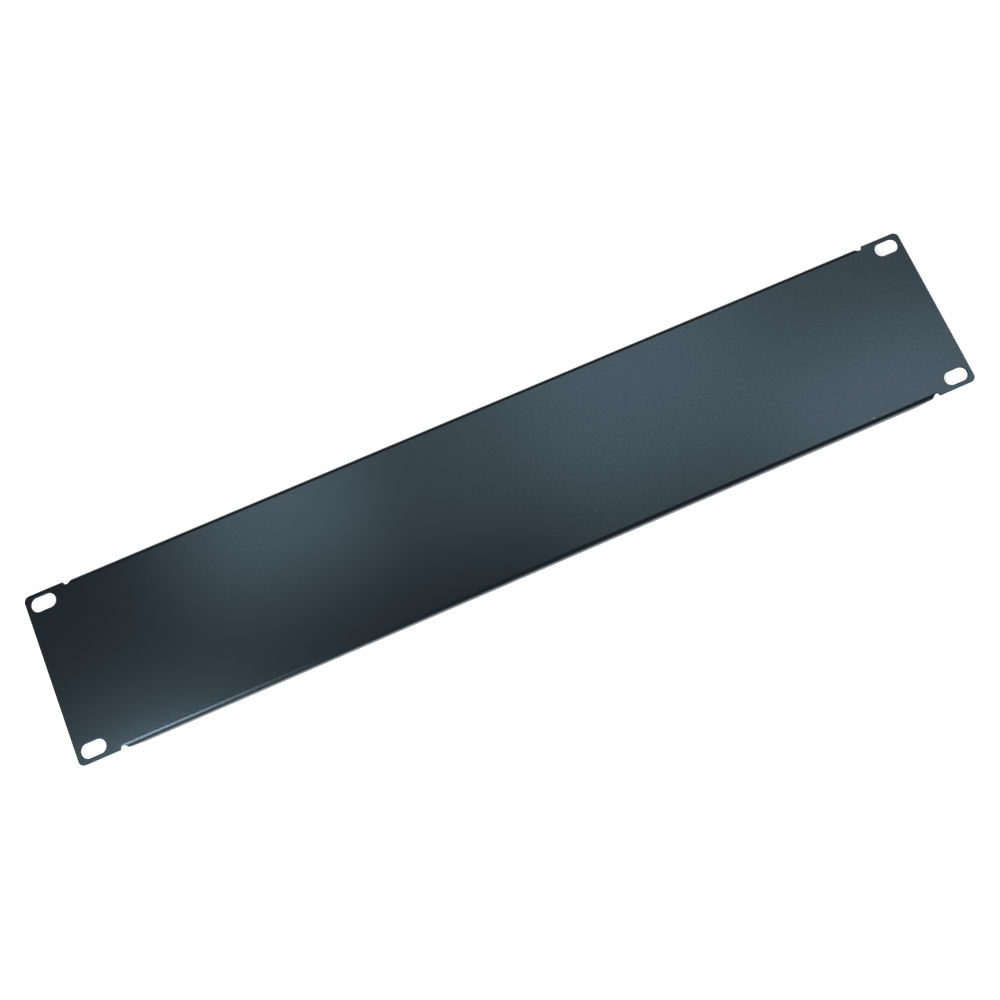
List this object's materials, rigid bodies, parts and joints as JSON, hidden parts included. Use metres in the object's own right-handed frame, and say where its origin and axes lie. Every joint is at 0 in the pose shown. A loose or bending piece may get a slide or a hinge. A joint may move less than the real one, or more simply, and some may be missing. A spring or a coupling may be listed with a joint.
{
  "type": "rack blanking panel",
  "caption": "Folded sheet-steel blanking panel for an equipment rack, with slotted ears and shallow flanges turned back along both long edges.",
  "frame": {"origin": "centre of the four fixing slots, on the back of the sheet, where the ears seat on the rack's rails", "axes": "+X along the panel's width, +Y up the rack, +Z out of the front face; the panel lies face up on the free edges of its flanges"},
  "size_m": [0.4826, 0.0882, 0.01],
  "materials": {
    "powder_coat": "black polyester powder coat, semi-matt with a fine orange peel"
  },
  "bodies": {
    "root": {"blanking_panel": "powder_coat"}
  },
  "joints": []
}
